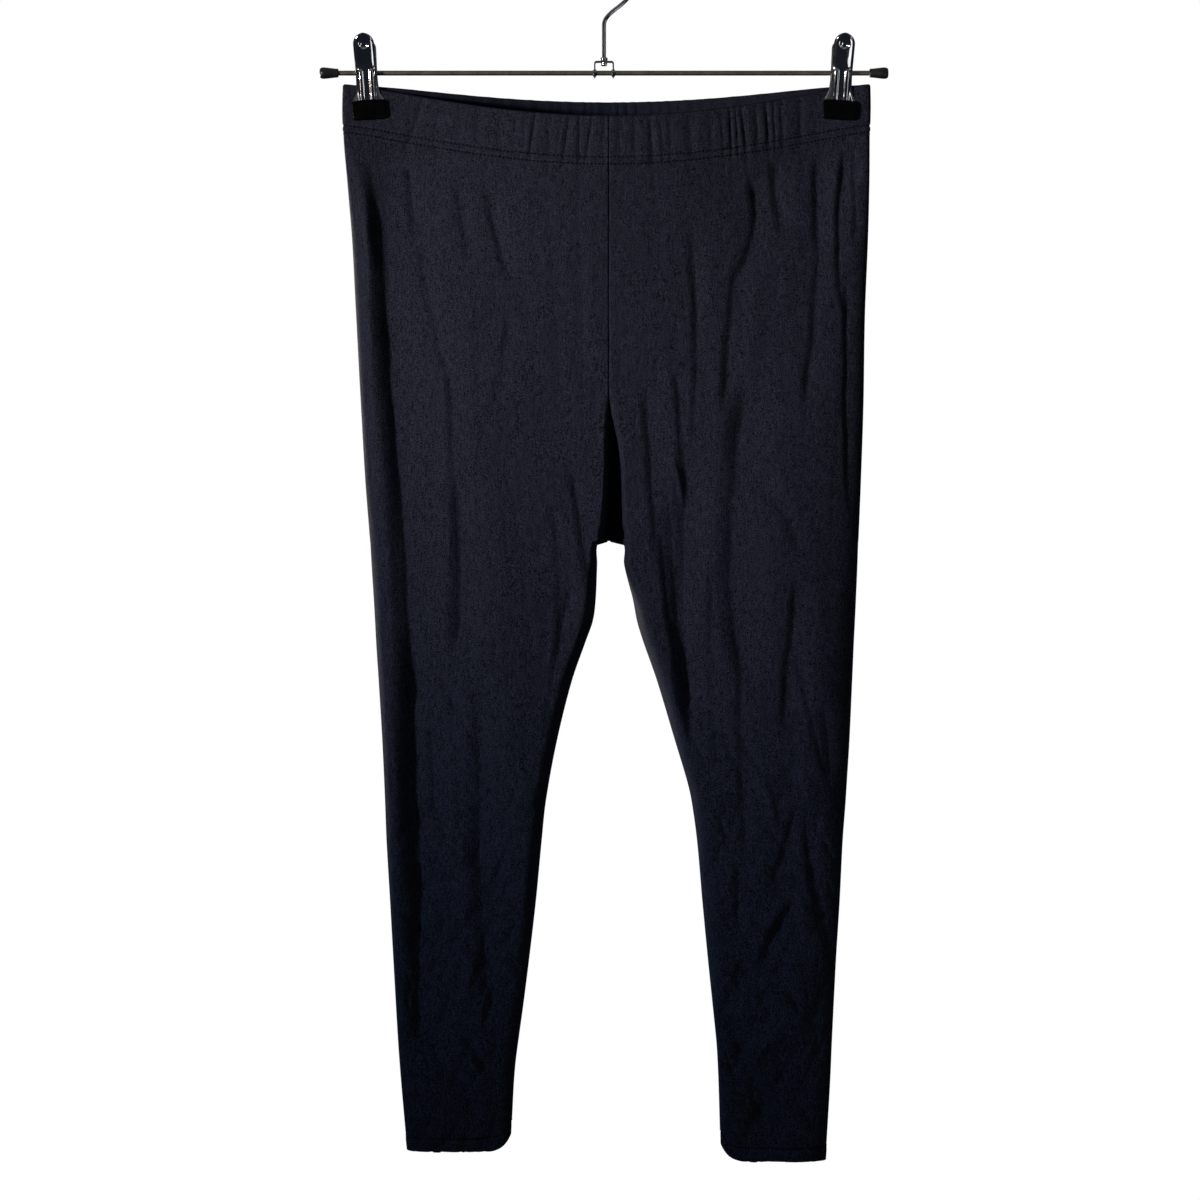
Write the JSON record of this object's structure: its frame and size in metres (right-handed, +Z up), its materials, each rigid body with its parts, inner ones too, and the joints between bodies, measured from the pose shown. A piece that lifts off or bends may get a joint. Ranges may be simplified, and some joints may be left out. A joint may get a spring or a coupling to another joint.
{
  "type": "leggings on a clip hanger",
  "caption": "Ankle-length leggings with an elasticated turned waistband, hanging flat from the two clips of a metal trouser hanger.",
  "frame": {"origin": "inside of the crown of the hanger's hook, where it lies on the rail", "axes": "+Z up, +X to the wearer's left, -Y the garment's front"},
  "size_m": [0.455, 0.0549, 0.9706],
  "materials": {
    "jersey": "matt black polyamide and elastane jersey with a fine knit grain and a soft sheen",
    "elastic_band": "the same jersey doubled over flat elastic and finely puckered",
    "polished_steel": "bright chrome plate on steel",
    "black_plastic": "smooth black moulded plastic",
    "dipped_pad": "matt black soft plastic"
  },
  "bodies": {
    "root": {"leg_right": "jersey", "leg_left": "jersey", "hem_right": "jersey", "hem_left": "jersey", "waistband_right": "elastic_band", "waistband_left": "elastic_band", "hanger_rod": "polished_steel", "rod_cap_right": "black_plastic", "rod_cap_left": "black_plastic", "stirrup": "polished_steel", "hook": "polished_steel", "clip_plate_front_right": "polished_steel", "clip_plate_back_right": "polished_steel", "clip_plate_front_left": "polished_steel", "clip_plate_back_left": "polished_steel", "clip_pad_front_right": "dipped_pad", "clip_pad_back_right": "dipped_pad", "clip_pad_front_left": "dipped_pad", "clip_pad_back_left": "dipped_pad", "clip_spring_right": "polished_steel", "clip_spring_left": "polished_steel"}
  },
  "joints": []
}
